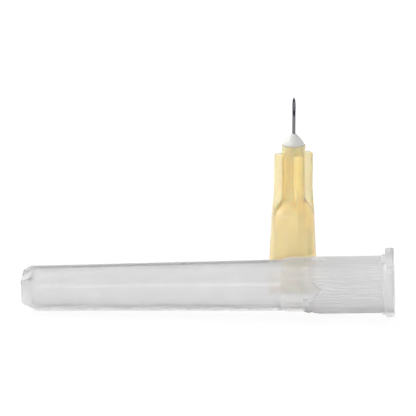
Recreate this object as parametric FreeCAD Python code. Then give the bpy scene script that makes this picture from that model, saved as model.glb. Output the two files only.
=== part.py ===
"""Fine-gauge hypodermic needle standing on its hub, with its protective cap lying in front of it.

The frame is in millimetres. The origin is the centre of the socket's mouth, on the table, and +Z runs up the
needle to its point. The cap lies along X on the -Y side, with its open end at +X.
"""
import math
import os

import FreeCAD, Part
from FreeCAD import Placement, Rotation, Vector

# Luer socket, the standard 6 % cone, and the channel from it to the cannula
LUER_MOUTH_RADIUS = 2.145
LUER_TAPER = 0.06
LUER_DEPTH = 7.9
FUNNEL_RADIUS = 1.35
FUNNEL_HEIGHT = 0.7
NECK_RADIUS = 1.25
NECK_HEIGHT = 1.2
CHANNEL_RADIUS = 0.55
CHANNEL_CONE_HEIGHT = 0.6
CHANNEL_TOP = 13.0

# Hub body: a slender cone, a steep shoulder and a nozzle with a rounded rim
HUB_HEIGHT = 18.75
HUB_FOOT_RADIUS = 3.15
HUB_BODY_TAPER = 0.052
SHOULDER_FOOT = 10.3
SHOULDER_TOP = 11.95
NOZZLE_FOOT_RADIUS = 1.40
NOZZLE_RIM_RADIUS = 1.44
RIM_ROUNDING = 0.12
WELL_RADIUS = 0.98
WELL_DEPTH = 1.5

# Lugs for a locking collar, at the mouth of the socket
LUG_COUNT = 2
LUG_SPAN = 7.8
LUG_HEIGHT = 0.95
LUG_WIDTH = 2.8
LUG_RAMP = 0.45
LUG_ANGLE = -39.0

# Fins up the nozzle: straight above, flared over the shoulder, fading out on the body
FIN_COUNT = 4
FIN_THICKNESS = 0.95
FIN_DROP_BELOW_RIM = 1.0
FIN_RADIUS = 2.41
FIN_FLARE_TOP = 13.2
FIN_FLARE_FOOT = 10.1
FIN_STEP_ON_BODY = 0.075
FIN_FADE_HEIGHT = 7.7
FIN_CORNER_ROUNDING = 0.28
FIN_ANGLE = 24.0

# Cannula: a steel tube with a slanted point and two smaller facets at its tip
CANNULA_RADIUS = 0.20
CANNULA_LUMEN_RADIUS = 0.105
CANNULA_FOOT = 12.6
CANNULA_TIP = 24.68
BEVEL_LENGTH = 2.4
LANCET_LENGTH = 0.95
LANCET_TURN = 38.0
BEVEL_FACING = -82.0
CANNULA_CLEARANCE = 0.015

# Bead of adhesive that fills the well and climbs the cannula
BEAD_HEIGHT = 1.35
BEAD_TOP_RADIUS = 0.26
BEAD_BULGE_RADIUS = 0.98
BEAD_BULGE_HEIGHT = 0.62

# Cap, measured along its axis from the open end
CAP_LENGTH = 44.5
CAP_SIDES = 5
FLANGE_THICKNESS = 1.07
FLANGE_FLAT = 3.72
FLANGE_CORNER = 4.37
FLANGE_ROUNDING = 0.16
GUSSET_LENGTH = 0.42
FLANGE_ROOT = 0.14
GRIP_RADIUS = 3.41
GRIP_LENGTH = 10.5
GRIP_RAMP_LENGTH = 0.7
FLUTE_COUNT = 60
FLUTE_DEPTH = 0.06
FLUTE_END = 10.1
SPUR_START = 12.3
SPUR_RAMP_LENGTH = 1.1
SPUR_FLAT = 3.00
SPUR_CORNER = 3.395
BARREL_CORNER_RISE = 0.16
BARREL_FLAT = 2.98
BARREL_END_FLAT = 2.61

# V-ended pockets that carry each flat of the barrel on into the grip
POCKET_HALF_WIDTH = 1.06
POCKET_SHOULDER = 9.8
POCKET_TIP = 8.5
POCKET_WALL_LEAN = 0.16

# Slanted facets and edge rounding of the closed end
END_FACET_FLAT = 1.86
END_FACET_SLOPE = 0.5
END_ROUNDING = 0.10

# Hollow of the cap: seat for the hub, room for its fins, bore for the cannula
CAP_SEAT_HEIGHT_ON_HUB = 4.5
CAP_SEAT_CLEARANCE = 0.03
CAP_SEAT_LENGTH = 2.0
CAP_FIN_CLEARANCE = 0.05
CHAMBER_END_GAP = 0.2
CHAMBER_SHOULDER_LENGTH = 0.5
BORE_WALL = 0.75
CAP_END_WALL = 1.2
BORE_END_CHAMFER = 0.35

# Where the cap lies: its open end, its distance in front of the hub, and its turn about its own axis
CAP_MOUTH_X = 12.55
CAP_DISTANCE = 10.0
CAP_ROLL = 22.8

Z_AXIS = Vector(0, 0, 1)
ORIGIN = Vector(0, 0, 0)


def socket_radius(height):
    """Radius of the luer cone at a height above its mouth."""
    return LUER_MOUTH_RADIUS - LUER_TAPER / 2 * height


def body_radius(height):
    """Radius of the hub's body cone at a height above the mouth."""
    return HUB_FOOT_RADIUS - HUB_BODY_TAPER * height


def fin_edge():
    """Outer edge of a fin as (radius, height) points, from where it fades on the body up to its top."""
    return [
        (body_radius(FIN_FADE_HEIGHT), FIN_FADE_HEIGHT),
        (body_radius(FIN_FLARE_FOOT) + FIN_STEP_ON_BODY, FIN_FLARE_FOOT),
        (FIN_RADIUS, FIN_FLARE_TOP),
        (FIN_RADIUS, HUB_HEIGHT - FIN_DROP_BELOW_RIM),
    ]


def revolved(profile):
    """Solid of revolution about Z from (radius, height) points."""
    points = [Vector(radius, 0, height) for radius, height in profile]
    face = Part.Face(Part.makePolygon(points + points[:1]))
    return face.revolve(ORIGIN, Z_AXIS, 360)


def around_axis(solid, count, first_angle=0.0):
    """Copies of a solid spaced evenly about Z."""
    copies = []
    for index in range(count):
        copy = solid.copy()
        copy.rotate(ORIGIN, Z_AXIS, first_angle + index * 360.0 / count)
        copies.append(copy)
    return copies


def hub_body():
    """Body, shoulder and nozzle in one turned form, with the nozzle's rim rounded."""
    body = revolved([
        (0, 0),
        (HUB_FOOT_RADIUS, 0),
        (body_radius(SHOULDER_FOOT), SHOULDER_FOOT),
        (NOZZLE_FOOT_RADIUS, SHOULDER_TOP),
        (NOZZLE_RIM_RADIUS, HUB_HEIGHT),
        (0, HUB_HEIGHT),
    ])
    rim = [edge for edge in body.Edges if edge.Vertexes[0].Point.z > HUB_HEIGHT - 1e-6
           and abs(edge.BoundBox.XMax - NOZZLE_RIM_RADIUS) < 1e-6 and edge.BoundBox.ZLength < 1e-6]
    return body.makeFillet(RIM_ROUNDING, rim)


def fin():
    """One fin along +X: a plate inside the body at its foot, with its top corner rounded."""
    half = FIN_THICKNESS / 2
    edge_points = fin_edge()
    top = edge_points[-1][1]
    points = [Vector(0, -half, FIN_FADE_HEIGHT)]
    points += [Vector(radius, -half, height) for radius, height in edge_points]
    points.append(Vector(0, -half, top))
    plate = Part.Face(Part.makePolygon(points + points[:1])).extrude(Vector(0, FIN_THICKNESS, 0))
    corner = [edge for edge in plate.Edges if edge.BoundBox.XMin > FIN_RADIUS - 1e-6
              and edge.BoundBox.ZMin > top - 1e-6]
    return plate.makeFillet(FIN_CORNER_ROUNDING, corner)


def lug():
    """One lug along +X: a block with a ramped upper edge, cut to the round outline of the lugs."""
    half = LUG_WIDTH / 2
    outer = LUG_SPAN / 2
    outline = Part.makePolygon([
        Vector(0, -half, 0),
        Vector(outer, -half, 0),
        Vector(outer, -half, LUG_HEIGHT - LUG_RAMP),
        Vector(HUB_FOOT_RADIUS, -half, LUG_HEIGHT),
        Vector(0, -half, LUG_HEIGHT),
        Vector(0, -half, 0),
    ])
    block = Part.Face(outline).extrude(Vector(0, LUG_WIDTH, 0))
    return block.common(Part.makeCylinder(outer, LUG_HEIGHT))


def hub_hollow():
    """Luer cone, funnel, neck, channel, bore for the cannula and well for the adhesive."""
    funnel_top = LUER_DEPTH + FUNNEL_HEIGHT
    neck_top = funnel_top + NECK_HEIGHT
    channel_foot = neck_top + CHANNEL_CONE_HEIGHT
    bore = CANNULA_RADIUS + CANNULA_CLEARANCE
    well_foot = HUB_HEIGHT - WELL_DEPTH
    return revolved([
        (0, -1),
        (socket_radius(-1), -1),
        (socket_radius(LUER_DEPTH), LUER_DEPTH),
        (FUNNEL_RADIUS, funnel_top),
        (NECK_RADIUS, neck_top),
        (CHANNEL_RADIUS, channel_foot),
        (CHANNEL_RADIUS, CHANNEL_TOP),
        (bore, CHANNEL_TOP),
        (bore, well_foot),
        (WELL_RADIUS, well_foot),
        (WELL_RADIUS, HUB_HEIGHT + 1),
        (0, HUB_HEIGHT + 1),
    ])


def make_hub():
    """Moulded hub in one piece: body, fins and lugs fused, then hollowed."""
    pieces = around_axis(fin(), FIN_COUNT, FIN_ANGLE) + around_axis(lug(), LUG_COUNT, LUG_ANGLE)
    return hub_body().fuse(pieces).cut(hub_hollow()).removeSplitter()


def slanted_block(length, turn):
    """Block above a plane that climbs across the tube from the heel of the bevel to its tip."""
    reach = 3 * CANNULA_RADIUS
    rise = length / (2 * CANNULA_RADIUS)
    outline = Part.makePolygon([
        Vector(-CANNULA_RADIUS, -reach, 0),
        Vector(reach, -reach, -rise * (reach + CANNULA_RADIUS)),
        Vector(reach, -reach, rise * reach),
        Vector(-CANNULA_RADIUS, -reach, rise * reach),
        Vector(-CANNULA_RADIUS, -reach, 0),
    ])
    block = Part.Face(outline).extrude(Vector(0, 2 * reach, 0))
    block.translate(Vector(0, 0, CANNULA_TIP))
    block.rotate(ORIGIN, Z_AXIS, turn)
    return block


def make_cannula():
    """Steel tube with its point ground in three facets; the bevel faces the viewer."""
    length = CANNULA_TIP - CANNULA_FOOT
    tube = Part.makeCylinder(CANNULA_RADIUS, length, Vector(0, 0, CANNULA_FOOT))
    lumen = Part.makeCylinder(CANNULA_LUMEN_RADIUS, length + 2, Vector(0, 0, CANNULA_FOOT - 1))
    grinds = [slanted_block(BEVEL_LENGTH, BEVEL_FACING)]
    for side in (-1, 1):
        grinds.append(slanted_block(LANCET_LENGTH, BEVEL_FACING + side * LANCET_TURN))
    return tube.cut(lumen).cut(grinds)


def make_glue_bead():
    """Adhesive: a plug in the well and a rounded cone over it, both around the cannula."""
    well_foot = HUB_HEIGHT - WELL_DEPTH
    bulge = HUB_HEIGHT + BEAD_BULGE_HEIGHT
    top = HUB_HEIGHT + BEAD_HEIGHT
    foot_point = Vector(NOZZLE_RIM_RADIUS - RIM_ROUNDING, 0, HUB_HEIGHT)
    bulge_point = Vector(BEAD_BULGE_RADIUS, 0, bulge)
    top_point = Vector(BEAD_TOP_RADIUS, 0, top)
    flank = Part.BSplineCurve()
    flank.interpolate([foot_point, bulge_point, top_point])
    inner = [
        top_point,
        Vector(CANNULA_RADIUS, 0, top),
        Vector(CANNULA_RADIUS, 0, well_foot),
        Vector(WELL_RADIUS, 0, well_foot),
        Vector(WELL_RADIUS, 0, HUB_HEIGHT),
        foot_point,
    ]
    outline = Part.Wire([flank.toShape()] + Part.makePolygon(inner).Edges)
    return Part.Face(outline).revolve(ORIGIN, Z_AXIS, 360)


def rounded_polygon(flat, corner, height):
    """Closed outline with CAP_SIDES flats and rounded corners, flats and corners at the given distances."""
    step = math.pi / CAP_SIDES
    centre_reach = (corner - flat) / (1 - math.cos(step))
    rounding = corner - centre_reach
    edges = []
    ends = []
    for index in range(CAP_SIDES):
        middle = (2 * index + 1) * step
        centre = Vector(centre_reach * math.cos(middle), centre_reach * math.sin(middle), height)
        arc_points = []
        for angle in (middle - step, middle, middle + step):
            arc_points.append(centre + Vector(rounding * math.cos(angle), rounding * math.sin(angle), 0))
        edges.append(Part.Arc(*arc_points).toShape())
        ends.append((arc_points[0], arc_points[2]))
    joined = []
    for index in range(CAP_SIDES):
        next_start = ends[(index + 1) % CAP_SIDES][0]
        joined.append(edges[index])
        joined.append(Part.LineSegment(ends[index][1], next_start).toShape())
    return Part.Wire(joined)


def barrel():
    """Tapered five-sided barrel, and the spurs where its corners step up to the grip's radius."""
    spur_end = SPUR_START + SPUR_RAMP_LENGTH
    closed = rounded_polygon(BARREL_END_FLAT, BARREL_END_FLAT + BARREL_CORNER_RISE, CAP_LENGTH)
    root = rounded_polygon(BARREL_FLAT, BARREL_FLAT + BARREL_CORNER_RISE, spur_end)
    spur = rounded_polygon(SPUR_FLAT, SPUR_CORNER, SPUR_START)
    taper = Part.makeLoft([closed, root], True, True)
    ramp = Part.makeLoft([root, spur], True, True)
    collar = Part.Face(spur).extrude(Vector(0, 0, -SPUR_START + FLANGE_THICKNESS))
    return taper.fuse([ramp, collar])


def fluted_outline(height):
    """Outline of the grip: shallow hollow flutes that meet in fine crests."""
    pitch = 2 * math.pi / FLUTE_COUNT
    root_radius = GRIP_RADIUS - FLUTE_DEPTH
    edges = []
    for index in range(FLUTE_COUNT):
        angles = [index * pitch, (index + 0.5) * pitch, (index + 1) * pitch]
        radii = [GRIP_RADIUS, root_radius, GRIP_RADIUS]
        points = []
        for angle, radius in zip(angles, radii):
            points.append(Vector(radius * math.cos(angle), radius * math.sin(angle), height))
        edges.append(Part.Arc(*points).toShape())
    return Part.Wire(edges)


def pocket():
    """Cutter for one pocket, on +X: a pointed slot whose walls lean outwards."""
    floor = SPUR_FLAT
    opening = GRIP_RADIUS + 0.2
    foot = GRIP_LENGTH + 2 * GRIP_RAMP_LENGTH
    wires = []
    for radius, lean in ((floor, 0.0), (opening, POCKET_WALL_LEAN)):
        half = POCKET_HALF_WIDTH + lean
        wires.append(Part.makePolygon([
            Vector(radius, -half, foot),
            Vector(radius, -half, POCKET_SHOULDER),
            Vector(radius, 0, POCKET_TIP - lean),
            Vector(radius, half, POCKET_SHOULDER),
            Vector(radius, half, foot),
            Vector(radius, -half, foot),
        ]))
    return Part.makeLoft(wires, True, True)


def grip():
    """Round grip: fluted length, smooth collar with a ramp down to the barrel, and the V-ended pockets."""
    flutes = Part.Face(fluted_outline(0)).extrude(Vector(0, 0, FLUTE_END))
    collar = revolved([
        (0, FLUTE_END),
        (GRIP_RADIUS, FLUTE_END),
        (GRIP_RADIUS, GRIP_LENGTH),
        (SPUR_FLAT, GRIP_LENGTH + GRIP_RAMP_LENGTH),
        (0, GRIP_LENGTH + GRIP_RAMP_LENGTH),
    ])
    return flutes.fuse(collar).cut(around_axis(pocket(), CAP_SIDES))


def gusset():
    """One 45 degree web behind a flat of the flange, on +X."""
    half = POCKET_HALF_WIDTH
    inside = GRIP_RADIUS - 2 * FLUTE_DEPTH
    slope_foot = FLANGE_THICKNESS + GUSSET_LENGTH
    outline = Part.makePolygon([
        Vector(inside, -half, 0.5 * FLANGE_THICKNESS),
        Vector(FLANGE_FLAT, -half, 0.5 * FLANGE_THICKNESS),
        Vector(FLANGE_FLAT, -half, slope_foot - (FLANGE_FLAT - GRIP_RADIUS)),
        Vector(inside, -half, slope_foot + GRIP_RADIUS - inside),
        Vector(inside, -half, 0.5 * FLANGE_THICKNESS),
    ])
    return Part.Face(outline).extrude(Vector(0, 2 * half, 0))


def flange():
    """Five-sided flange with rounded edges, a small fillet-like ring at its root and its gussets."""
    plate = Part.Face(rounded_polygon(FLANGE_FLAT, FLANGE_CORNER, 0)).extrude(Vector(0, 0, FLANGE_THICKNESS))
    rims = [edge for edge in plate.Edges if edge.BoundBox.ZLength < 1e-6]
    plate = plate.makeFillet(FLANGE_ROUNDING, rims)
    root = Part.makeCone(GRIP_RADIUS + FLANGE_ROOT, GRIP_RADIUS, FLANGE_ROOT, Vector(0, 0, FLANGE_THICKNESS))
    return plate.fuse([root] + around_axis(gusset(), CAP_SIDES))


def end_facets():
    """Pyramid that trims the closed end: its five slopes leave a facet on each flat."""
    step = math.pi / CAP_SIDES
    wires = []
    for height in (CAP_LENGTH, -1.0):
        reach = (END_FACET_FLAT + END_FACET_SLOPE * (CAP_LENGTH - height)) / math.cos(step)
        points = []
        for index in range(CAP_SIDES + 1):
            angle = (2 * index + 1) * step
            points.append(Vector(reach * math.cos(angle), reach * math.sin(angle), height))
        wires.append(Part.makePolygon(points))
    return Part.makeLoft(wires, True, True)


def cap_hollow():
    """Seat that grips the hub, chamber round the fins, shoulder, and tapering bore round the cannula."""
    seat = body_radius(CAP_SEAT_HEIGHT_ON_HUB) + CAP_SEAT_CLEARANCE
    chamber = []
    for radius, height in fin_edge()[1:]:
        reach = math.hypot(radius, FIN_THICKNESS / 2)
        chamber.append((reach + CAP_FIN_CLEARANCE, height - CAP_SEAT_HEIGHT_ON_HUB))
    chamber_end = chamber[-1][1] + CHAMBER_END_GAP
    chamber[-1] = (chamber[-1][0], chamber_end)
    bore_foot = chamber_end + CHAMBER_SHOULDER_LENGTH
    bore_end = CAP_LENGTH - CAP_END_WALL
    return revolved([
        (0, -1),
        (seat, -1),
        (seat, CAP_SEAT_LENGTH),
    ] + chamber + [
        (BARREL_FLAT - BORE_WALL, bore_foot),
        (BARREL_END_FLAT - BORE_WALL, bore_end - BORE_END_CHAMFER),
        (BARREL_END_FLAT - BORE_WALL - BORE_END_CHAMFER, bore_end),
        (0, bore_end),
    ])


def cap_at_origin():
    """The cap with its axis on Z, its mouth at the origin and its closed end up."""
    outside = barrel().common(end_facets())
    end_edges = [edge for edge in outside.Edges if edge.BoundBox.ZMin > CAP_LENGTH - 1e-6]
    outside = outside.makeFillet(END_ROUNDING, end_edges)
    return outside.fuse([grip(), flange()]).cut(cap_hollow()).removeSplitter()


def lowest_reach(flat, corner):
    """Distance from the axis to the lowest point of a five-sided section at the cap's roll."""
    step = 180.0 / CAP_SIDES
    centre_reach = (corner - flat) / (1 - math.cos(math.radians(step)))
    nearest_corner = min(abs(CAP_ROLL - step), abs(CAP_ROLL + step))
    return centre_reach * math.cos(math.radians(nearest_corner)) + corner - centre_reach


def make_cap():
    """The cap laid down: it rests on its flange and its closed end."""
    facet_foot = CAP_LENGTH - (BARREL_END_FLAT - END_FACET_FLAT) / END_FACET_SLOPE
    drop = lowest_reach(FLANGE_FLAT, FLANGE_CORNER)
    drop -= lowest_reach(BARREL_END_FLAT, BARREL_END_FLAT + BARREL_CORNER_RISE)
    pitch = math.degrees(math.atan(drop / (facet_foot - FLANGE_THICKNESS)))
    cap = cap_at_origin()
    roll = Rotation(Z_AXIS, 180.0 + CAP_ROLL)
    lay = Rotation(Vector(0, 1, 0), -90.0 - pitch)
    cap.Placement = Placement(Vector(CAP_MOUTH_X, -CAP_DISTANCE, 0), lay.multiply(roll))
    cap.translate(Vector(0, 0, -cap.optimalBoundingBox().ZMin))
    return cap


def main():
    """Build every piece and write one file for each."""
    os.makedirs("parts", exist_ok=True)
    pieces = {
        "hub": make_hub(),
        "cannula": make_cannula(),
        "glue_bead": make_glue_bead(),
        "cap": make_cap(),
    }
    for name, shape in pieces.items():
        box = shape.BoundBox
        print(name, "valid", shape.isValid(), "solids", len(shape.Solids), "faces", len(shape.Faces),
              "volume", round(shape.Volume, 4), "x", round(box.XMin, 3), round(box.XMax, 3),
              "y", round(box.YMin, 3), round(box.YMax, 3), "z", round(box.ZMin, 3), round(box.ZMax, 3))
        shape.exportStep("parts/" + name + ".step")


main()
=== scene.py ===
import math

import bmesh
import bpy
import numpy as np
from mathutils import Matrix, Vector


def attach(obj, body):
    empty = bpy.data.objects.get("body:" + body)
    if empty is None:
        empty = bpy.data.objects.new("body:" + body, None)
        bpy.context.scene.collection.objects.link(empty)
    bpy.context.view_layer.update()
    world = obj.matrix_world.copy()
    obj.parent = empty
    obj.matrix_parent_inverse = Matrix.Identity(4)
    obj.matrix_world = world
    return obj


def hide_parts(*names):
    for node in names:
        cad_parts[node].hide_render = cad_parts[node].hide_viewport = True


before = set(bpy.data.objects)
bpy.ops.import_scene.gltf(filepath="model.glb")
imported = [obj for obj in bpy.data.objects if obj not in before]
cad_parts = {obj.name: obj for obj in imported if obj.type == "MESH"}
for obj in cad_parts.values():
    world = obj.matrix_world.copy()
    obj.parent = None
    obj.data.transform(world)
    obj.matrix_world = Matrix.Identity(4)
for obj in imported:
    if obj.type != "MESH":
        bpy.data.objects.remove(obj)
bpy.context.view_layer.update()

MM = 0.001

# Hub
LUER_MOUTH_RADIUS = 2.145
LUER_TAPER = 0.06
LUER_DEPTH = 7.9
FUNNEL_RADIUS = 1.35
FUNNEL_HEIGHT = 0.7
NECK_RADIUS = 1.25
NECK_HEIGHT = 1.2
CHANNEL_RADIUS = 0.55
CHANNEL_CONE_HEIGHT = 0.6
CHANNEL_TOP = 13.0
HUB_HEIGHT = 18.75
HUB_FOOT_RADIUS = 3.15
HUB_BODY_TAPER = 0.052
SHOULDER_FOOT = 10.3
SHOULDER_TOP = 11.95
NOZZLE_FOOT_RADIUS = 1.40
NOZZLE_RIM_RADIUS = 1.44
RIM_ROUNDING = 0.12
WELL_RADIUS = 0.98
WELL_DEPTH = 1.5
LUG_SPAN = 7.8
LUG_HEIGHT = 0.95
LUG_WIDTH = 2.8
LUG_RAMP = 0.45
LUG_ANGLE = -39.0
FIN_COUNT = 4
FIN_THICKNESS = 0.95
FIN_DROP_BELOW_RIM = 1.0
FIN_RADIUS = 2.41
FIN_FLARE_TOP = 13.2
FIN_FLARE_FOOT = 10.1
FIN_STEP_ON_BODY = 0.075
FIN_FADE_HEIGHT = 7.7
FIN_CORNER_ROUNDING = 0.28
FIN_ANGLE = 24.0
FIN_ROOT_FILLET = 0.14
FIN_EDGE_ROUNDING = 0.10
FIN_BLEND_STEP = 0.12
FIN_TOP_ROUNDING = 0.06
FIN_OUTLINE_ROUNDINGS = (0.5, 0.6)
HUB_FOOT_CHAMFER = 0.08
HUB_BODY_ROUNDINGS = (0.03, 0.35, 0.45)
HUB_HOLLOW_ROUNDINGS = (0.05, 0.03, 0.03, 0.06, 0.1, 0.12, 0.12, 0.12, 0.05)
LUER_MOUTH_CHAMFER = 0.1
LUER_MOUTH_CHAMFER_HEIGHT = 0.12
LUG_BEVEL = 0.08

# Extra rows of the hub's outside as from, to and how many, and rows above the fins' tops
HUB_STOPS = (
    (0.4, 7.4, 12),
    (7.8, 12.6, 24),
    (13.3, HUB_HEIGHT - FIN_DROP_BELOW_RIM - FIN_CORNER_ROUNDING - 0.1, 12),
)
ROWS_ABOVE_FINS = (0.001, 0.3, 0.6)

# Cannula and its adhesive
CANNULA_RADIUS = 0.20
CANNULA_LUMEN_RADIUS = 0.105
CANNULA_FOOT = 12.6
CANNULA_TIP = 24.68
BEVEL_LENGTH = 2.4
LANCET_LENGTH = 0.95
LANCET_TURN = 38.0
BEVEL_FACING = -82.0
CANNULA_CLEARANCE = 0.015
PLUG_SKIN = 0.004
BEAD_HEIGHT = 1.35
BEAD_TOP_RADIUS = 0.26
BEAD_BULGE_RADIUS = 0.98
BEAD_BULGE_HEIGHT = 0.62
BEAD_LIP_HEIGHTS = (0.02, 0.05)
BEAD_STEPS = 22
CANNULA_ROWS = (20.5, 22.2)
ROUND_COLUMNS = 96

# Upward share of the normals of a ground facet, as least and most
FACET_LEAN = (0.05, 0.9)

# Cap, along its axis from the open end
CAP_LENGTH = 44.5
CAP_SIDES = 5
FLANGE_THICKNESS = 1.07
FLANGE_FLAT = 3.72
FLANGE_CORNER = 4.37
FLANGE_ROUNDING = 0.16
GUSSET_LENGTH = 0.42
FLANGE_ROOT = 0.14
GRIP_RADIUS = 3.41
GRIP_LENGTH = 10.5
GRIP_RAMP_LENGTH = 0.7
FLUTE_COUNT = 60
FLUTE_DEPTH = 0.06
FLUTE_END = 10.1
SPUR_START = 12.7
SPUR_RAMP_LENGTH = 0.6
SPUR_FLAT = 3.00
SPUR_CORNER = 3.395
BARREL_CORNER_RISE = 0.16
BARREL_FLAT = 2.98
BARREL_END_FLAT = 2.61
POCKET_HALF_WIDTH = 1.06
POCKET_SHOULDER = 9.8
POCKET_TIP = 8.5
POCKET_WALL_LEAN = 0.16
END_FACET_FLAT = 1.86
END_FACET_SLOPE = 0.5
END_ROUNDING = 0.10
CAP_SEAT_HEIGHT_ON_HUB = 4.5
CAP_SEAT_CLEARANCE = 0.03
CAP_SEAT_LENGTH = 2.0
CAP_FIN_CLEARANCE = 0.05
CHAMBER_END_GAP = 0.2
CHAMBER_SHOULDER_LENGTH = 0.5
BORE_WALL = 0.75
CAP_END_WALL = 1.2
BORE_END_CHAMFER = 0.35
CAP_MOUTH_X = 12.55
CAP_DISTANCE = 10.0
CAP_ROLL = 22.8
CAP_PITCH = 2.0928
CAP_COLUMNS = 360
CAP_MOUTH_CHAMFER = 0.06
BORE_END_CENTRE = 0.4
CAP_HOLLOW_ROUNDINGS = (0.1, 0.1, 0.1, 0.1, 0.3, 0.3, 0.3, 0.03)
BARREL_ROUNDINGS = (0.12, 0.2)
FLUTE_FADE = 0.1
GRIP_RAMP_EDGE = 0.06
POCKET_SIDE_RADIUS = 3.2
POCKET_RUN_OUT = 0.2
POCKET_EDGE = 0.05
SPUR_EDGE = 0.04
END_FACET_EDGE = 0.12
END_FACET_REACH = 3.0
END_ROUNDING_SHARE = 0.7
END_RING_SHARES = (0.8, 0.5, 0.2)

# How far past its end a form of the cap is still blended in
ROW_MARGIN = 0.1
ROOT_MARGIN = 0.2

# The frost on the grip sets in between these distances from the grip's end, towards the mouth
FROST_START = -0.5
FROST_END = 1.5

# Rows of the cap's outside as from, to and how many, closest where its form changes
CAP_STOPS = (
    (FLANGE_THICKNESS, 1.7, 12),
    (2.2, 8.1, 7),
    (8.2, 10.0, 37),
    (10.05, 10.2, 4),
    (10.35, 11.4, 16),
    (11.6, 12.0, 3),
    (12.1, 13.9, 25),
    (14.5, 42.0, 24),
    (42.4, CAP_LENGTH - END_ROUNDING, 26),
)

# Edges sharper than these angles stay sharp in the shading
SHARP_ANGLE = 35.0
CANNULA_SHARP_ANGLE = 25.0
CAP_SHARP_ANGLE = 40.0
BEAD_SHARP_ANGLE = 60.0

# A rounding takes up at most this share of the leg beside it
LEG_SHARE = 0.45

# Where two rounded surfaces meet, their blend is this share of its radius deep
BLEND_DEPTH = 0.25

# Heights closer than this count as the same, and a ring this small is merged to a point
TINY = 0.001
POINT_RADIUS = 1e-7

# Materials: scales of noise per metre, and heights of relief and reach of scattered light in metres.
# The swing is how far the cloudy share wanders, and the blue is added to the greys of steel.
CLOUD_SCALE = 180.0
CLOUD_SWING = 0.03
GRAIN_SCALE = 2600.0
GRAIN_HEIGHT = 0.00004
PLASTIC_SCATTER = 0.0015
STEEL_TONE_SCALE = 900.0
STEEL_MARK_SCALE = 9000.0
STEEL_MARK_HEIGHT = 0.00002
STEEL_BLUE = 0.01
MARKS_ALONG = (1.0, 1.0, 0.02)
MARKS_ACROSS = (0.05, 1.0, 1.0)
ADHESIVE_TONE_SCALE = 700.0
ADHESIVE_RELIEF_HEIGHT = 0.00004
ADHESIVE_SCATTER = 0.0003

# Share of the noise where a mottled colour starts to change, and where it is fully changed
MOTTLE_START = 0.3
MOTTLE_END = 0.7

# Camera: target and distance in millimetres, scale in pixels a millimetre, near and far ends in metres
CAMERA_TARGET = (-10.05, -5.0, 11.894)
CAMERA_AZIMUTH = 4.5
CAMERA_ELEVATION = 15.0
CAMERA_DISTANCE = 300.0
CAMERA_SCALE = 8.291
CAMERA_NEAR = 0.01
CAMERA_FAR = 10.0
FRAME_PIXELS = 416
SENSOR_WIDTH = 36.0

WHITE = (1.0, 1.0, 1.0, 1.0)

# Where the surroundings are darkest, seen from the object, and their light and dark colours
DARK_SIDE = (0.9, -0.25, 0.3)
LIGHT_SIDE_COLOUR = (0.95, 0.95, 0.95)
DARK_SIDE_COLOUR = (0.58, 0.58, 0.58)
DARK_SIDE_END = 0.85

# Lamps in metres and watts: name, place, width and height, power; all are aimed at one point
LAMPS = (
    ("left", (-0.37, 0.11, 0.31), (0.16, 0.16), 0.9),
    ("front", (-0.05, -0.48, 0.075), (0.34, 0.12), 0.44),
)
LAMP_AIM = (-0.005, -0.005, 0.005)

# Table: lengths in metres, its colour in diffuse light, and the colour and glow that the eye sees
FLOOR_SIZE = 4.0
FLOOR_DROP = 0.00002
FLOOR_COLOUR = (0.90, 0.90, 0.90, 1.0)
FLOOR_SEEN_COLOUR = (0.16, 0.16, 0.16, 1.0)
FLOOR_GLOW = 0.89


def body_radius(height):
    """Radius of the hub's body cone."""
    return HUB_FOOT_RADIUS - HUB_BODY_TAPER * height


def fin_edge():
    """Outer edge of a fin as (radius, height) points, from where it fades on the body up to its top."""
    return [
        (body_radius(FIN_FADE_HEIGHT), FIN_FADE_HEIGHT),
        (body_radius(FIN_FLARE_FOOT) + FIN_STEP_ON_BODY, FIN_FLARE_FOOT),
        (FIN_RADIUS, FIN_FLARE_TOP),
        (FIN_RADIUS, HUB_HEIGHT - FIN_DROP_BELOW_RIM),
    ]


def rounded_polyline(points, roundings, steps=4):
    """The polyline, each inner corner replaced by a short curve that starts its rounding away from it."""
    made = [points[0]]
    for index in range(1, len(points) - 1):
        before, corner, after = (np.array(points[index + k], float) for k in (-1, 0, 1))
        start, end = (
            corner + leg * min(LEG_SHARE, roundings[index - 1] / max(np.linalg.norm(leg), 1e-9))
            for leg in (before - corner, after - corner)
        )
        for share in np.linspace(0.0, 1.0, steps + 1):
            near = start * (1 - share) + corner * share
            far = corner * (1 - share) + end * share
            made.append(tuple(near * (1 - share) + far * share))
    made.append(points[-1])
    return made


def lattice(rows, close_rows=False):
    """Vertices and faces of rows of points that run round an axis, each row joined to the next."""
    count = len(rows)
    columns = len(rows[0])
    vertices = np.concatenate(rows)
    faces = []
    for row in range(count if close_rows else count - 1):
        here = row * columns
        above = ((row + 1) % count) * columns
        for column in range(columns):
            step = (column + 1) % columns
            faces.append((here + column, here + step, above + step, above + column))
    return vertices, faces


def ring(angles, radius, height):
    """One row of points at the given angles in radians; radius and height are numbers or arrays."""
    radius = np.broadcast_to(radius, angles.shape)
    height = np.broadcast_to(height, angles.shape)
    return np.stack([radius * np.cos(angles), radius * np.sin(angles), height], axis=1)


def make_object(name, vertices, faces, node, material, sharp_angle=SHARP_ANGLE):
    """A piece in place of a CAD node, smooth apart from its real edges."""
    mesh = bpy.data.meshes.new(name)
    mesh.from_pydata([tuple(v) for v in np.asarray(vertices) * MM], [], faces)
    mesh.validate()
    piece = bpy.data.objects.new(name, mesh)
    bpy.context.scene.collection.objects.link(piece)
    fix_normals(mesh)
    for polygon in mesh.polygons:
        polygon.use_smooth = True
    mesh.set_sharp_from_angle(angle=math.radians(sharp_angle))
    mesh.materials.append(material)
    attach(piece, "root")
    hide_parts(node)
    return piece


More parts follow.
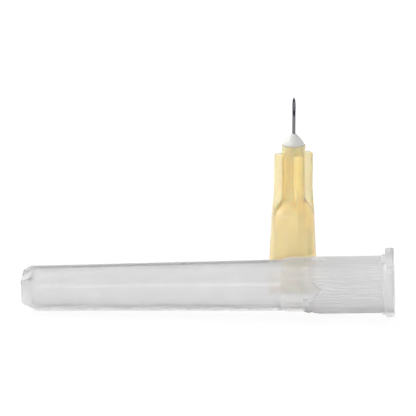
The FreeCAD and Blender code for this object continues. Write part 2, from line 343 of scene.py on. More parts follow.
def fix_normals(mesh):
    """Merges doubled points and turns all faces outwards."""
    work = bmesh.new()
    work.from_mesh(mesh)
    bmesh.ops.remove_doubles(work, verts=work.verts, dist=1e-8)
    bmesh.ops.recalc_face_normals(work, faces=work.faces)
    work.to_mesh(mesh)
    work.free()


def fin_half_section(body, reach, half):
    """From half-way between two fins to the middle of one, which points along +X: angles and radii."""
    tall = max(reach, body + FIN_BLEND_STEP)
    fillet = min(FIN_ROOT_FILLET, LEG_SHARE * (tall - body))
    corner = min(FIN_EDGE_ROUNDING, LEG_SHARE * (tall - body))
    root_x = math.sqrt((body + fillet) ** 2 - (half + fillet) ** 2)
    root_angle = math.atan2(half + fillet, root_x)
    edge_x = math.sqrt((tall - corner) ** 2 - (half - corner) ** 2)
    edge_angle = math.atan2(half - corner, edge_x)
    points = []
    for angle in np.linspace(math.pi / FIN_COUNT, root_angle, 9)[:-1]:
        points.append((body * math.cos(angle), body * math.sin(angle)))
    for angle in np.linspace(root_angle + math.pi, 1.5 * math.pi, 5):
        points.append((root_x + fillet * math.cos(angle), half + fillet + fillet * math.sin(angle)))
    for share in (0.25, 0.5, 0.75):
        points.append((root_x + share * (edge_x - root_x), half))
    for angle in np.linspace(0.5 * math.pi, edge_angle, 5):
        points.append((edge_x + corner * math.cos(angle), half - corner + corner * math.sin(angle)))
    for angle in np.linspace(edge_angle, 0.0, 4)[1:]:
        points.append((tall * math.cos(angle), tall * math.sin(angle)))
    points = np.array(points)
    angles = np.arctan2(points[:, 1], points[:, 0])
    radii = np.hypot(points[:, 0], points[:, 1])
    share = min(1.0, max(0.0, (reach - body) / FIN_BLEND_STEP))
    return angles, body + share * (radii - body)


def hub_row(height, body, reach, half):
    """One row of the hub's outside, with its fins."""
    angles, radii = fin_half_section(body, reach, half)
    one_angles = np.concatenate([-angles, angles[-2:0:-1]])
    one_radii = np.concatenate([radii, radii[-2:0:-1]])
    all_angles = []
    all_radii = []
    for index in range(FIN_COUNT):
        all_angles.append(one_angles + math.radians(FIN_ANGLE + index * 360.0 / FIN_COUNT))
        all_radii.append(one_radii)
    angles = np.concatenate(all_angles)
    return angles, ring(angles, np.concatenate(all_radii), height)


def hub_outside():
    """Rows from the foot up to the rim: (height, body radius, reach of the fins, half their thickness)."""
    body = rounded_polyline([
        (HUB_FOOT_RADIUS - HUB_FOOT_CHAMFER, 0.0),
        (HUB_FOOT_RADIUS, HUB_FOOT_CHAMFER),
        (body_radius(SHOULDER_FOOT), SHOULDER_FOOT),
        (NOZZLE_FOOT_RADIUS, SHOULDER_TOP),
        (NOZZLE_RIM_RADIUS, HUB_HEIGHT - RIM_ROUNDING),
    ], HUB_BODY_ROUNDINGS)
    body_heights = [height for radius, height in body]
    body_radii = [radius for radius, height in body]
    fin = rounded_polyline(fin_edge(), FIN_OUTLINE_ROUNDINGS)
    fin_heights = [height for radius, height in fin]
    fin_radii = [radius for radius, height in fin]
    top = HUB_HEIGHT - FIN_DROP_BELOW_RIM
    half = FIN_THICKNESS / 2
    rounding_foot = top - FIN_CORNER_ROUNDING
    extra_heights = np.concatenate([np.linspace(*stop) for stop in HUB_STOPS])
    heights = sorted({*body_heights, *fin_heights[:-1], *extra_heights})
    rows = []
    for height in [h for h in heights if h < rounding_foot]:
        reach = np.interp(height, fin_heights, fin_radii) if height >= FIN_FADE_HEIGHT else 0.0
        rows.append((height, float(np.interp(height, body_heights, body_radii)), float(reach), half))
    nozzle = float(np.interp(top, body_heights, body_radii))
    for turn in np.linspace(0.0, 0.5 * math.pi, 7):
        height = rounding_foot + FIN_CORNER_ROUNDING * math.sin(turn)
        reach = FIN_RADIUS - FIN_CORNER_ROUNDING * (1 - math.cos(turn))
        sink = max(0.0, height - (top - FIN_TOP_ROUNDING))
        edge = FIN_TOP_ROUNDING - math.sqrt(max(0.0, FIN_TOP_ROUNDING ** 2 - sink ** 2))
        rows.append((height, nozzle, reach, half - edge))
    half_way = nozzle + 0.5 * (FIN_RADIUS - FIN_CORNER_ROUNDING - nozzle)
    rows.append((top, nozzle, half_way, half - FIN_TOP_ROUNDING))
    for height in [top + rise for rise in ROWS_ABOVE_FINS] + [HUB_HEIGHT - RIM_ROUNDING]:
        radius = float(np.interp(height, body_heights, body_radii))
        rows.append((height, radius, 0.0, half - FIN_TOP_ROUNDING))
    return rows


def hub_inside():
    """Hollow of the hub as (radius, height) points from the rim down to the foot."""
    funnel_top = LUER_DEPTH + FUNNEL_HEIGHT
    neck_top = funnel_top + NECK_HEIGHT
    channel_foot = neck_top + CHANNEL_CONE_HEIGHT
    bore = CANNULA_RADIUS + CANNULA_CLEARANCE
    well_foot = HUB_HEIGHT - WELL_DEPTH
    corners = [
        (WELL_RADIUS, HUB_HEIGHT),
        (WELL_RADIUS, well_foot),
        (bore, well_foot),
        (bore, CHANNEL_TOP),
        (CHANNEL_RADIUS, CHANNEL_TOP),
        (CHANNEL_RADIUS, channel_foot),
        (NECK_RADIUS, neck_top),
        (FUNNEL_RADIUS, funnel_top),
        (LUER_MOUTH_RADIUS - LUER_TAPER / 2 * LUER_DEPTH, LUER_DEPTH),
        (LUER_MOUTH_RADIUS, LUER_MOUTH_CHAMFER_HEIGHT),
        (LUER_MOUTH_RADIUS + LUER_MOUTH_CHAMFER, 0.0),
    ]
    return rounded_polyline(corners, HUB_HOLLOW_ROUNDINGS, steps=3)


def make_hub(material):
    """The moulded hub: fins, body and hollow in one skin, with the two lugs joined to it."""
    rows = []
    for height, body, reach, half in hub_outside():
        angles, row = hub_row(height, body, reach, half)
        rows.append(row)
    for turn in np.linspace(0.0, 0.5 * math.pi, 6)[1:]:
        radius = NOZZLE_RIM_RADIUS - RIM_ROUNDING * (1 - math.cos(turn))
        rows.append(ring(angles, radius, HUB_HEIGHT - RIM_ROUNDING * (1 - math.sin(turn))))
    for radius, height in hub_inside():
        rows.append(ring(angles, radius, height))
    vertices, faces = lattice(rows, close_rows=True)
    hub = make_object("hub_moulding", vertices, faces, "hub", material)
    for turn in (LUG_ANGLE, LUG_ANGLE + 180.0):
        lug = lug_object(turn)
        join = hub.modifiers.new("lug", "BOOLEAN")
        join.operation = "UNION"
        join.solver = "EXACT"
        join.object = lug
        apply_modifiers(hub)
        bpy.data.objects.remove(lug)
    for polygon in hub.data.polygons:
        polygon.use_smooth = True
    hub.data.set_sharp_from_angle(angle=math.radians(SHARP_ANGLE))


def lug_object(turn):
    """One lug as a loose block with rounded edges, to be joined to the hub."""
    half = LUG_WIDTH / 2
    outer = LUG_SPAN / 2
    inner = 0.5 * (LUER_MOUTH_RADIUS + HUB_FOOT_RADIUS)
    across = np.linspace(-half, half, 13)
    rows = []
    for y in across:
        edge = math.sqrt(outer ** 2 - y ** 2)
        low = LUG_HEIGHT - LUG_RAMP * (edge - HUB_FOOT_RADIUS) / (outer - HUB_FOOT_RADIUS)
        rows.append([
            (inner, y, 0.0),
            (edge, y, 0.0),
            (edge, y, low),
            (HUB_FOOT_RADIUS, y, LUG_HEIGHT),
            (inner, y, LUG_HEIGHT),
        ])
    size = len(rows[0])
    vertices = [point for row in rows for point in row]
    faces = [tuple(range(size)), tuple(range(len(vertices) - 1, len(vertices) - size - 1, -1))]
    for row in range(len(rows) - 1):
        here = row * size
        for step in range(size):
            after = (step + 1) % size
            faces.append((here + step, here + after, here + size + after, here + size + step))
    mesh = bpy.data.meshes.new("lug")
    mesh.from_pydata([tuple(np.array(v) * MM) for v in vertices], [], faces)
    fix_normals(mesh)
    lug = bpy.data.objects.new("lug", mesh)
    bpy.context.scene.collection.objects.link(lug)
    soften = lug.modifiers.new("soften", "BEVEL")
    soften.width = LUG_BEVEL * MM
    soften.segments = 3
    soften.limit_method = "ANGLE"
    apply_modifiers(lug)
    lug.data.transform(Matrix.Rotation(math.radians(turn), 4, "Z"))
    return lug


def apply_modifiers(piece):
    """Replaces the piece's mesh by its evaluated one and clears its modifiers."""
    graph = bpy.context.evaluated_depsgraph_get()
    graph.update()
    made = bpy.data.meshes.new_from_object(piece.evaluated_get(graph))
    piece.modifiers.clear()
    piece.data = made


def make_bead(material, plug_material):
    """Adhesive: a plug in the well and a convex cone over it."""
    angles = np.linspace(0.0, 2 * math.pi, ROUND_COLUMNS, endpoint=False)
    plug_radius = WELL_RADIUS - PLUG_SKIN
    plug_foot = HUB_HEIGHT - WELL_DEPTH + PLUG_SKIN
    rows = [
        ring(angles, CANNULA_RADIUS, plug_foot),
        ring(angles, plug_radius, plug_foot),
        ring(angles, plug_radius, HUB_HEIGHT),
    ]
    knots = [0.0, BEAD_BULGE_HEIGHT, BEAD_HEIGHT]
    radii = [NOZZLE_RIM_RADIUS - RIM_ROUNDING, BEAD_BULGE_RADIUS, BEAD_TOP_RADIUS]
    for share in np.linspace(0.0, 1.0, BEAD_STEPS):
        height = BEAD_HEIGHT * share
        rows.append(ring(angles, quadratic(height, knots, radii), HUB_HEIGHT + height))
    top = HUB_HEIGHT + BEAD_HEIGHT
    for radius, rise in zip((0.5 * (BEAD_TOP_RADIUS + CANNULA_RADIUS), CANNULA_RADIUS), BEAD_LIP_HEIGHTS):
        rows.append(ring(angles, radius, top + rise))
    vertices, faces = lattice(rows, close_rows=True)
    bead = make_object("adhesive_bead", vertices, faces, "glue_bead", material, BEAD_SHARP_ANGLE)
    bead.data.materials.append(plug_material)
    for polygon in bead.data.polygons:
        if polygon.center.z < (HUB_HEIGHT - TINY) * MM:
            polygon.material_index = 1


def quadratic(value, knots, values):
    """The parabola through three points."""
    total = 0.0
    for index in range(3):
        term = values[index]
        for other in range(3):
            if other != index:
                term *= (value - knots[other]) / (knots[index] - knots[other])
        total += term
    return total


def ground_height(angles, radius):
    """Height of the ground point over the tube's wall: the lowest of its three facets."""
    lowest = np.full(angles.shape, CANNULA_TIP)
    for length, turn in ((BEVEL_LENGTH, 0.0), (LANCET_LENGTH, -LANCET_TURN), (LANCET_LENGTH, LANCET_TURN)):
        across = radius * np.cos(angles - math.radians(BEVEL_FACING + turn))
        rise = length / (2 * CANNULA_RADIUS)
        lowest = np.minimum(lowest, CANNULA_TIP - rise * (across + CANNULA_RADIUS))
    return lowest


def make_cannula(material, ground_painted_reflection_material, painted_light_bonded_material):
    """Steel tube, ground in three facets at its point and bonded in the hub at its foot."""
    angles = np.linspace(0.0, 2 * math.pi, ROUND_COLUMNS, endpoint=False) + math.radians(BEVEL_FACING)
    bond_top = HUB_HEIGHT + 0.5 * BEAD_HEIGHT
    rows = [ring(angles, CANNULA_RADIUS, height) for height in (CANNULA_FOOT, bond_top, *CANNULA_ROWS)]
    middle = 0.5 * (CANNULA_RADIUS + CANNULA_LUMEN_RADIUS)
    rows += [ring(angles, radius, ground_height(angles, radius))
             for radius in (CANNULA_RADIUS, middle, CANNULA_LUMEN_RADIUS)]
    rows.append(ring(angles, CANNULA_LUMEN_RADIUS, CANNULA_FOOT))
    vertices, faces = lattice(rows, close_rows=True)
    tube = make_object("cannula_tube", vertices, faces, "cannula", material, CANNULA_SHARP_ANGLE)
    # Near-black steel for the ground facets: a painted dark reflection.
    tube.data.materials.append(ground_painted_reflection_material)
    # Near-white steel for the tube inside the hub: painted light.
    tube.data.materials.append(painted_light_bonded_material)
    facing = Vector((math.cos(math.radians(BEVEL_FACING)), math.sin(math.radians(BEVEL_FACING)), 0.0))
    least_lean, most_lean = FACET_LEAN
    for polygon in tube.data.polygons:
        high = polygon.center.z > (CANNULA_TIP - BEVEL_LENGTH) * MM
        slanted = least_lean < polygon.normal.z < most_lean and polygon.normal.dot(facing) > 0.0
        highest_corner = max(tube.data.vertices[corner].co.z for corner in polygon.vertices)
        if high and (slanted or polygon.normal.z > most_lean):
            polygon.material_index = 1
        elif highest_corner < (bond_top + TINY) * MM:
            polygon.material_index = 2


def polygon_reach(angles, flat, corner):
    """Distance from the axis to a five-sided section with rounded corners; a flat is at angle 0."""
    step = math.pi / CAP_SIDES
    centre = (corner - flat) / (1 - math.cos(step))
    rounding = corner - centre
    from_corner = np.abs(np.mod(angles, 2 * step) - step)
    switch = np.arctan2(rounding * math.sin(step), centre + rounding * math.cos(step))
    inside = np.maximum(rounding ** 2 - (centre * np.sin(from_corner)) ** 2, 0.0)
    on_arc = centre * np.cos(from_corner) + np.sqrt(inside)
    return np.where(from_corner < switch, on_arc, flat / np.cos(step - from_corner))


def soft_min(a, b, radius):
    """The lower of two surfaces, rounded where they meet."""
    gap = np.maximum(radius - np.abs(a - b), 0.0) / radius
    return np.minimum(a, b) - BLEND_DEPTH * radius * gap ** 2


def soft_max(a, b, radius):
    """The higher of two surfaces, rounded where they meet."""
    return -soft_min(-a, -b, radius)


def from_flat(angles):
    """Angle from the nearest flat of the five-sided section."""
    step = 2 * math.pi / CAP_SIDES
    return np.mod(angles + step / 2, step) - step / 2


def barrel_reach(angles, along):
    """Outside of the barrel and of the spurs at its root."""
    ramp_end = SPUR_START + SPUR_RAMP_LENGTH
    flats = rounded_polyline([
        (SPUR_FLAT, 0.0),
        (SPUR_FLAT, SPUR_START),
        (BARREL_FLAT, ramp_end),
        (BARREL_END_FLAT, CAP_LENGTH),
    ], BARREL_ROUNDINGS)
    corners = rounded_polyline([
        (SPUR_CORNER, 0.0),
        (SPUR_CORNER, SPUR_START),
        (BARREL_FLAT + BARREL_CORNER_RISE, ramp_end),
        (BARREL_END_FLAT + BARREL_CORNER_RISE, CAP_LENGTH),
    ], BARREL_ROUNDINGS)
    flat = np.interp(along, [p[1] for p in flats], [p[0] for p in flats])
    corner = np.interp(along, [p[1] for p in corners], [p[0] for p in corners])
    return polygon_reach(angles, flat, corner)


def grip_reach(angles, along):
    """Outside of the grip: flutes, smooth collar, ramp, and the V-ended pockets."""
    pitch = 2 * math.pi / FLUTE_COUNT
    share = np.mod(angles, pitch) / pitch
    fade = np.clip((FLUTE_END + FLUTE_FADE / 2 - along) / FLUTE_FADE, 0.0, 1.0)
    fluted = GRIP_RADIUS - FLUTE_DEPTH * fade * (1 - (2 * share - 1) ** 2)
    ramp = GRIP_RADIUS - max(0.0, along - GRIP_LENGTH) * (GRIP_RADIUS - SPUR_FLAT) / GRIP_RAMP_LENGTH
    on_ramp = along > GRIP_LENGTH - ROW_MARGIN
    grip = soft_min(fluted, np.full(angles.shape, ramp), GRIP_RAMP_EDGE) if on_ramp else fluted
    turn = from_flat(angles)
    sideways = np.abs(POCKET_SIDE_RADIUS * np.sin(turn))
    slope = (POCKET_SHOULDER - POCKET_TIP) / POCKET_HALF_WIDTH
    inside_tip = (along - POCKET_TIP - slope * sideways) / math.hypot(1.0, slope)
    inside = np.minimum(POCKET_HALF_WIDTH - sideways, inside_tip)
    wall = (GRIP_RADIUS + POCKET_RUN_OUT - SPUR_FLAT) / POCKET_WALL_LEAN
    pocket = (SPUR_FLAT + wall * np.maximum(0.0, -inside)) / np.cos(turn)
    return soft_min(grip, pocket, POCKET_EDGE)


def root_reach(angles, along):
    """Small ring and 45 degree webs behind the flange."""
    turn = from_flat(angles)
    ring_reach = GRIP_RADIUS + FLANGE_ROOT - (along - FLANGE_THICKNESS)
    web = (GRIP_RADIUS + FLANGE_THICKNESS + GUSSET_LENGTH - along) / np.cos(turn)
    sideways = np.abs(web * np.sin(turn))
    web = np.where(sideways < POCKET_HALF_WIDTH, web, 0.0)
    return np.maximum(ring_reach, web)


def end_reach(angles, along):
    """Slanted facets of the closed end."""
    return (END_FACET_FLAT + END_FACET_SLOPE * (CAP_LENGTH - along)) / np.cos(from_flat(angles))


def cap_reach(angles, along):
    """Outside of the cap at a distance from its mouth."""
    reach = barrel_reach(angles, along)
    if along < GRIP_LENGTH + GRIP_RAMP_LENGTH + ROW_MARGIN:
        reach = soft_max(reach, grip_reach(angles, along), SPUR_EDGE)
    if along < FLANGE_THICKNESS + GUSSET_LENGTH + ROOT_MARGIN:
        limit = polygon_reach(angles, FLANGE_FLAT, FLANGE_CORNER) - FLANGE_ROUNDING
        reach = np.minimum(np.maximum(reach, root_reach(angles, along)), limit)
    if along > CAP_LENGTH - END_FACET_REACH:
        reach = soft_min(reach, end_reach(angles, along), END_FACET_EDGE)
    return reach


def cap_rows():
    """Rows of the cap's outside from its mouth to its closed end, and of its hollow back to the mouth."""
    angles = np.linspace(0.0, 2 * math.pi, CAP_COLUMNS, endpoint=False)
    plate = polygon_reach(angles, FLANGE_FLAT, FLANGE_CORNER)
    mouth = body_radius(CAP_SEAT_HEIGHT_ON_HUB) + CAP_SEAT_CLEARANCE + CAP_MOUTH_CHAMFER
    rows = [ring(angles, mouth + share * (plate - FLANGE_ROUNDING - mouth), 0.0) for share in (0.0, 0.5)]
    quarter = np.linspace(0.0, 0.5 * math.pi, 6)
    for turn in quarter:
        reach = plate - FLANGE_ROUNDING * (1 - math.sin(turn))
        rows.append(ring(angles, reach, FLANGE_ROUNDING * (1 - math.cos(turn))))
    back = FLANGE_THICKNESS - FLANGE_ROUNDING
    for turn in quarter:
        reach = plate - FLANGE_ROUNDING * (1 - math.cos(turn))
        rows.append(ring(angles, reach, back + FLANGE_ROUNDING * math.sin(turn)))
    for along in np.concatenate([np.linspace(*stop) for stop in CAP_STOPS]):
        rows.append(ring(angles, cap_reach(angles, along), along))
    edge = cap_reach(angles, CAP_LENGTH - END_ROUNDING)
    for turn in np.linspace(0.0, 0.5 * math.pi, 5)[1:]:
        reach = edge - END_ROUNDING * (1 - math.cos(turn)) * END_ROUNDING_SHARE
        rows.append(ring(angles, reach, CAP_LENGTH - END_ROUNDING * (1 - math.sin(turn))))
    last = edge - END_ROUNDING_SHARE * END_ROUNDING
    rows += [ring(angles, last * share, CAP_LENGTH) for share in END_RING_SHARES]
    rows.append(ring(angles, POINT_RADIUS, CAP_LENGTH))
    inside = [ring(angles, POINT_RADIUS, CAP_LENGTH - CAP_END_WALL)]
    inside += [ring(angles, radius, along) for radius, along in cap_hollow()]
    return rows, inside


def cap_hollow():
    """Hollow of the cap as (radius, distance) points from its closed end back to the mouth."""
    seat = body_radius(CAP_SEAT_HEIGHT_ON_HUB) + CAP_SEAT_CLEARANCE
    chamber = []
    for radius, height in fin_edge()[1:]:
        reach = math.hypot(radius, FIN_THICKNESS / 2) + CAP_FIN_CLEARANCE
        chamber.append((reach, height - CAP_SEAT_HEIGHT_ON_HUB))
    chamber[-1] = (chamber[-1][0], chamber[-1][1] + CHAMBER_END_GAP)
    bore_end = CAP_LENGTH - CAP_END_WALL
    bore = BARREL_END_FLAT - BORE_WALL
    corners = [
        (BORE_END_CENTRE, bore_end),
        (bore - BORE_END_CHAMFER, bore_end),
        (bore, bore_end - BORE_END_CHAMFER),
        (BARREL_FLAT - BORE_WALL, chamber[-1][1] + CHAMBER_SHOULDER_LENGTH),
    ]
    corners += chamber[::-1]
    corners += [(seat, CAP_SEAT_LENGTH), (seat, CAP_MOUTH_CHAMFER), (seat + CAP_MOUTH_CHAMFER, 0.0)]
    return rounded_polyline(corners, CAP_HOLLOW_ROUNDINGS, steps=2)


def cap_placement():
    """The cap laid down on its flange and closed end, as the CAD node lies."""
    lay = Matrix.Rotation(math.radians(-90.0 - CAP_PITCH), 4, "Y")
    roll = Matrix.Rotation(math.radians(180.0 + CAP_ROLL), 4, "Z")
    return Matrix.Translation(Vector((CAP_MOUTH_X, -CAP_DISTANCE, 0.0)) * MM) @ lay @ roll


def make_cap(material):
    """The cap: five-sided barrel, fluted grip with V-ended pockets, flange, and its hollow."""
    outside, inside = cap_rows()
    columns = len(outside[0])
    vertices, faces = lattice(outside)
    hollow_vertices, hollow_faces = lattice(inside)
    shift = len(vertices)
    faces += [tuple(index + shift for index in face) for face in hollow_faces]
    last = shift + (len(inside) - 1) * columns
    for column in range(columns):
        step = (column + 1) % columns
        faces.append((last + column, last + step, step, column))
    vertices = np.concatenate([vertices, hollow_vertices])
    cap = make_object("cap_moulding", vertices, faces, "cap", material, CAP_SHARP_ANGLE)
    cap.data.transform(cap_placement())
    floor_gap = min(vertex.co.z for vertex in cap.data.vertices)
    cap.data.transform(Matrix.Translation((0.0, 0.0, -floor_gap)))


def node_adder(tree):
    """A helper that adds a node to the tree, with its settings, values and links.

    Inputs go by name or number. A map range takes its value at 0 and the range at 1 and 2, and what that
    becomes at 3 and 4.
    """
    def add(kind, inputs=None, **settings):
        node = tree.nodes.new(kind)
        for key, value in settings.items():
            setattr(node, key, value)
        for key, value in (inputs or {}).items():
            if isinstance(value, bpy.types.NodeSocket):
                tree.links.new(value, node.inputs[key])
            else:
                node.inputs[key].default_value = value
        return node

    return add


def node_material(name):
    """An empty node material: its tree, its output node and a helper that adds a node."""
    material = bpy.data.materials.new(name)
    material.use_nodes = True
    tree = material.node_tree
    tree.nodes.clear()
    return material, tree, tree.nodes.new("ShaderNodeOutputMaterial"), node_adder(tree)


def tone_ramp(add, factor, start, end, first, last):
    """Colours that run from the first at start to the last at end."""
    ramp = add("ShaderNodeValToRGB", {"Fac": factor})
    for element, place, colour in zip(ramp.color_ramp.elements, (start, end), (first, last)):
        element.position = place
        element.color = (*colour, 1.0)
    return ramp.outputs["Color"]


def mottled(add, low, high, scale, stretch=(1.0, 1.0, 1.0)):
    """A colour that wanders softly between two near tones, with the noise and the place that drive it."""
    place = add("ShaderNodeTexCoord").outputs["Object"]
    place = add("ShaderNodeMapping", {"Vector": place, "Scale": stretch}).outputs["Vector"]
    noise = add("ShaderNodeTexNoise", {"Vector": place, "Scale": scale, "Detail": 3.0, "Roughness": 0.55})
    colour = tone_ramp(add, noise.outputs["Fac"], MOTTLE_START, MOTTLE_END, low, high)
    return colour, noise.outputs["Fac"], place


def deepened(add, colour, shade, low, high):
    """The colour, multiplied by a shade that sets in between two heights.

    A colour mix takes its share at input 0 and its colours at 6 and 7, and gives its result at output 2.
    """
    place = add("ShaderNodeTexCoord").outputs["Object"]
    height = add("ShaderNodeSeparateXYZ", {0: place}).outputs["Z"]
    share = add("ShaderNodeMapRange", {0: height, 1: low * MM, 2: high * MM}).outputs[0]
    mix = add("ShaderNodeMix", data_type="RGBA", blend_type="MULTIPLY")
    tree = mix.id_data
    tree.links.new(share, mix.inputs[0])
    tree.links.new(colour, mix.inputs[6])
    mix.inputs[7].default_value = (*shade, 1.0)
    return mix.outputs[2]


def frosted(add, share, more, low, high):
    """The cloudy share, raised by a set amount between two places along the cap."""
    place = add("ShaderNodeTexCoord").outputs["Object"]
    along = add("ShaderNodeSeparateXYZ", {0: place}).outputs["X"]
    extra = add("ShaderNodeMapRange", {0: along, 1: low * MM, 2: high * MM, 3: 0.0, 4: more}).outputs[0]
    return add("ShaderNodeMath", {0: share, 1: extra}, operation="ADD").outputs[0]


def plastic(name, tint, clouds, cloudiness, roughness, bend, scatter, absorb, shade=None, frost=0.0):
    """Moulded translucent plastic: a clear share that absorbs per millimetre of wall, and a cloudy share."""
    material, tree, output, add = node_material(name)
    colour, noise, place = mottled(add, *clouds, CLOUD_SCALE)
    if shade is not None:
        colour = deepened(add, colour, shade, SHOULDER_FOOT, FIN_FLARE_TOP)
    grain = add("ShaderNodeTexNoise", {"Vector": place, "Scale": GRAIN_SCALE, "Detail": 2.0}).outputs["Fac"]
    relief = add("ShaderNodeBump", {"Height": grain, "Strength": 0.04, "Distance": GRAIN_HEIGHT})
    gloss = {"Coat Weight": 0.7, "Coat Roughness": 0.05, "Coat IOR": 1.4, "Normal": relief.outputs["Normal"]}
    clear = add("ShaderNodeBsdfPrincipled", {
        "Base Color": (*tint, 1.0),
        "Roughness": roughness,
        "IOR": bend,
        "Transmission Weight": 1.0,
        **gloss,
    })
    cloudy = add("ShaderNodeBsdfPrincipled", {
        "Base Color": colour,
        "Roughness": 0.5,
        "Subsurface Weight": 1.0,
        "Subsurface Radius": scatter,
        "Subsurface Scale": PLASTIC_SCATTER,
        **gloss,
    })
    swirl = add("ShaderNodeMapRange", {0: noise, 3: cloudiness - CLOUD_SWING, 4: cloudiness + CLOUD_SWING})
    share = swirl.outputs[0]
    if frost > 0.0:
        grip_end = CAP_MOUTH_X - GRIP_LENGTH
        share = frosted(add, share, frost, grip_end + FROST_START, grip_end + FROST_END)
    mix = add("ShaderNodeMixShader", {0: share, 1: clear.outputs[0], 2: cloudy.outputs[0]})
    tree.links.new(mix.outputs[0], output.inputs["Surface"])
    kept = [1.0 - lost for lost in absorb]
    inside = add("ShaderNodeVolumeAbsorption", {"Color": (*kept, 1.0), "Density": 1.0 / MM})
    tree.links.new(inside.outputs[0], output.inputs["Volume"])
    return material


def steel(name, low, high, marks_stretch):
    """Steel with fine marks along or across it."""
    material, tree, output, add = node_material(name)
    dark = (low, low, low + STEEL_BLUE)
    light = (high, high, high + STEEL_BLUE)
    colour, _, place = mottled(add, dark, light, STEEL_TONE_SCALE, (1.0, 1.0, 0.05))
    drawn = add("ShaderNodeMapping", {"Vector": place, "Scale": marks_stretch}).outputs["Vector"]
    marks = add("ShaderNodeTexNoise", {"Vector": drawn, "Scale": STEEL_MARK_SCALE, "Detail": 2.0})
    depth = marks.outputs["Fac"]
    relief = add("ShaderNodeBump", {"Height": depth, "Strength": 0.25, "Distance": STEEL_MARK_HEIGHT})
    surface = add("ShaderNodeBsdfPrincipled", {
        "Base Color": colour,
        "Metallic": 1.0,
        "Roughness": 0.28,
        "Normal": relief.outputs["Normal"],
    })
    tree.links.new(surface.outputs[0], output.inputs["Surface"])
    return material


def adhesive():
    """White cured adhesive with a slight gloss."""
    material, tree, output, add = node_material("white_adhesive")
    colour, noise, _ = mottled(add, (0.70, 0.70, 0.69), (0.78, 0.78, 0.77), ADHESIVE_TONE_SCALE)
    relief = add("ShaderNodeBump", {"Height": noise, "Strength": 0.2, "Distance": ADHESIVE_RELIEF_HEIGHT})
    surface = add("ShaderNodeBsdfPrincipled", {
        "Base Color": colour,
        "Roughness": 0.32,
        "IOR": 1.40,
        "Transmission Weight": 0.12,
        "Subsurface Weight": 1.0,
        "Subsurface Radius": (0.6, 0.6, 0.55),
        "Subsurface Scale": ADHESIVE_SCATTER,
        "Normal": relief.outputs["Normal"],
    })
    tree.links.new(surface.outputs[0], output.inputs["Surface"])
    return material


def clear_adhesive():
    """The adhesive down in the well, clear and amber like the moulding round it."""
    material, tree, output, add = node_material("adhesive_in_well")
    colour, _, _ = mottled(add, (0.99, 0.98, 0.95), (1.0, 0.99, 0.97), ADHESIVE_TONE_SCALE)
    surface = add("ShaderNodeBsdfPrincipled", {
        "Base Color": colour,
        "Roughness": 0.08,
        "IOR": 1.03,
        "Transmission Weight": 1.0,
    })
    tree.links.new(surface.outputs[0], output.inputs["Surface"])
    inside = add("ShaderNodeVolumeAbsorption", {"Color": (0.99, 0.90, 0.55, 1.0), "Density": 1.0 / MM})
    tree.links.new(inside.outputs[0], output.inputs["Volume"])
    return material


def seen_rays(add):
    """1 on rays from the eye, in gloss and through the plastic, and 0 in diffuse light."""
    path = add("ShaderNodeLightPath")
    seen = path.outputs["Is Camera Ray"]
    for kind in ("Is Glossy Ray", "Is Transmission Ray"):
        seen = add("ShaderNodeMath", {0: seen, 1: path.outputs[kind]}, operation="MAXIMUM").outputs[0]
    return seen


def studio_floor():
    """White table with a faint shadow, which shows as white to the eye, in gloss and through the plastic."""
    material, tree, output, add = node_material("white_floor")
    faint = add("ShaderNodeBsdfDiffuse", {"Color": FLOOR_SEEN_COLOUR})
    glow = add("ShaderNodeEmission", {"Color": WHITE, "Strength": FLOOR_GLOW})
    shown = add("ShaderNodeAddShader", {0: faint.outputs[0], 1: glow.outputs[0]})
    plain = add("ShaderNodeBsdfDiffuse", {"Color": FLOOR_COLOUR})
    mix = add("ShaderNodeMixShader", {0: seen_rays(add), 1: plain.outputs[0], 2: shown.outputs[0]})
    tree.links.new(mix.outputs[0], output.inputs["Surface"])
    bpy.ops.mesh.primitive_plane_add(size=FLOOR_SIZE, location=(0.0, 0.0, -FLOOR_DROP))
    floor = bpy.context.object
    floor.name = "floor"
    floor.data.materials.append(material)


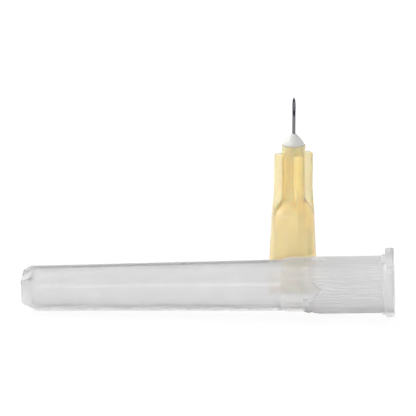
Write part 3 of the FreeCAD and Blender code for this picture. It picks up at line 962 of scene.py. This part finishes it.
def studio_light():
    """White surroundings that light the right side less, a lamp at the upper left and one low in front."""
    world = bpy.data.worlds.new("surroundings")
    bpy.context.scene.world = world
    world.use_nodes = True
    tree = world.node_tree
    tree.nodes.clear()
    add = node_adder(tree)
    output = add("ShaderNodeOutputWorld")
    direction = add("ShaderNodeTexCoord").outputs["Generated"]
    dark_side = Vector(DARK_SIDE).normalized()
    turned = add("ShaderNodeVectorMath", {0: direction, 1: dark_side}, operation="DOT_PRODUCT")
    toward_dark = turned.outputs["Value"]
    surroundings = tone_ramp(add, toward_dark, 0.0, DARK_SIDE_END, LIGHT_SIDE_COLOUR, DARK_SIDE_COLOUR)
    soft = add("ShaderNodeBackground", {"Color": surroundings, "Strength": 1.0})
    bright = add("ShaderNodeBackground", {"Color": WHITE, "Strength": 1.0})
    mix = add("ShaderNodeMixShader", {0: seen_rays(add), 1: soft.outputs[0], 2: bright.outputs[0]})
    tree.links.new(mix.outputs[0], output.inputs["Surface"])
    for name, place, size, power in LAMPS:
        lamp = bpy.data.lights.new(name, "AREA")
        lamp.shape = "RECTANGLE"
        lamp.size, lamp.size_y = size
        lamp.energy = power
        holder = bpy.data.objects.new(name, lamp)
        holder.location = place
        aim = Vector(LAMP_AIM) - Vector(place)
        holder.rotation_euler = aim.to_track_quat("-Z", "Y").to_euler()
        bpy.context.scene.collection.objects.link(holder)


def make_camera():
    """Camera at the photograph's angle."""
    turn = math.radians(CAMERA_AZIMUTH)
    rise = math.radians(CAMERA_ELEVATION)
    back = Vector((math.sin(turn) * math.cos(rise), -math.cos(turn) * math.cos(rise), math.sin(rise)))
    data = bpy.data.cameras.new("camera")
    data.sensor_width = SENSOR_WIDTH
    data.lens = SENSOR_WIDTH * CAMERA_SCALE * CAMERA_DISTANCE / FRAME_PIXELS
    data.clip_start = CAMERA_NEAR
    data.clip_end = CAMERA_FAR
    camera = bpy.data.objects.new("camera", data)
    camera.location = (Vector(CAMERA_TARGET) + back * CAMERA_DISTANCE) * MM
    camera.rotation_mode = "QUATERNION"
    camera.rotation_quaternion = (-back).to_track_quat("-Z", "Y")
    bpy.context.scene.collection.objects.link(camera)
    bpy.context.scene.camera = camera


amber = plastic(
    "amber_moulding",
    tint=(1.0, 0.995, 0.985),
    clouds=((0.97, 0.86, 0.66), (0.99, 0.90, 0.73)),
    cloudiness=0.37,
    roughness=0.16,
    bend=1.22,
    scatter=(1.0, 0.7, 0.3),
    absorb=(0.003, 0.08, 0.44),
    shade=(1.0, 0.935, 0.80),
)
milky = plastic(
    "milky_moulding",
    tint=(0.965, 0.96, 0.96),
    clouds=((0.80, 0.80, 0.805), (0.83, 0.83, 0.835)),
    cloudiness=0.27,
    roughness=0.12,
    bend=1.26,
    scatter=(1.0, 1.0, 1.0),
    absorb=(0.055, 0.057, 0.057),
    frost=0.14,
)
drawn = steel("drawn_steel", 0.15, 0.21, MARKS_ALONG)
# Steel of the ground facets: the marks across them are their grinding, and their near-black tone is a
# painted dark reflection.
ground = steel("ground_steel_painted_dark_reflection", 0.01, 0.03, MARKS_ACROSS)
# Steel of the tube inside the hub, made near-white: painted light, lighter than the same steel outside the
# hub.
bonded = steel("bonded_steel_painted_light", 0.80, 0.88, MARKS_ALONG)
make_hub(amber)
make_bead(adhesive(), clear_adhesive())
make_cannula(drawn, ground, bonded)
make_cap(milky)
studio_floor()
studio_light()
make_camera()
bpy.context.scene.view_settings.view_transform = "Standard"
